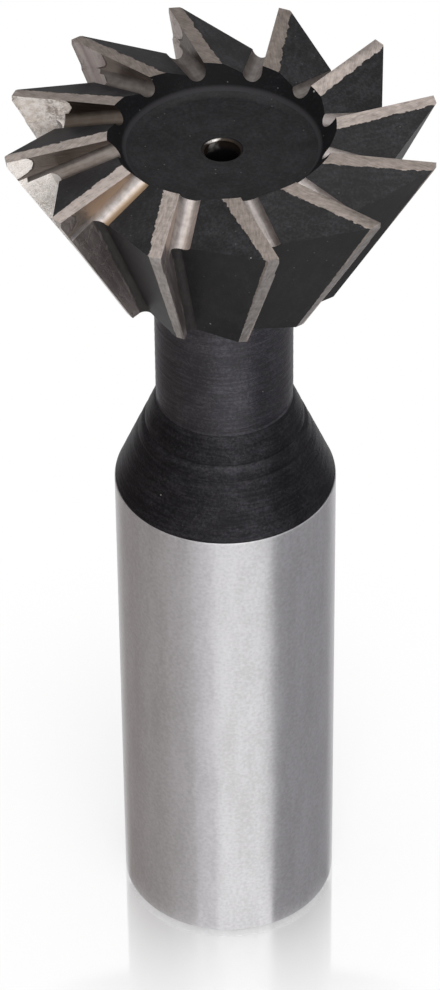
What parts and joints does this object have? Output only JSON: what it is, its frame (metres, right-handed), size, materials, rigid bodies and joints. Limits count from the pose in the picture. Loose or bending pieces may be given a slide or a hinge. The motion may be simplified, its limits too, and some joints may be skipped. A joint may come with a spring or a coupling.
{
  "type": "dovetail cutter",
  "caption": "One-piece straight-shank dovetail cutter: a toothed conical head, recessed at its cutting end, on a slim neck that tapers out to a plain ground cylindrical shank.",
  "frame": {"origin": "centre of the free end of the shank, on the tool's axis", "axes": "+Z along the axis, from the shank to the cutting end; -Y toward the viewer of the picture"},
  "size_m": [0.0294, 0.0294, 0.07],
  "materials": {
    "tool_steel": "shank and cutting lands ground bright, all else satin black oxide"
  },
  "bodies": {
    "root": {"dovetail_cutter": "tool_steel"}
  },
  "joints": []
}
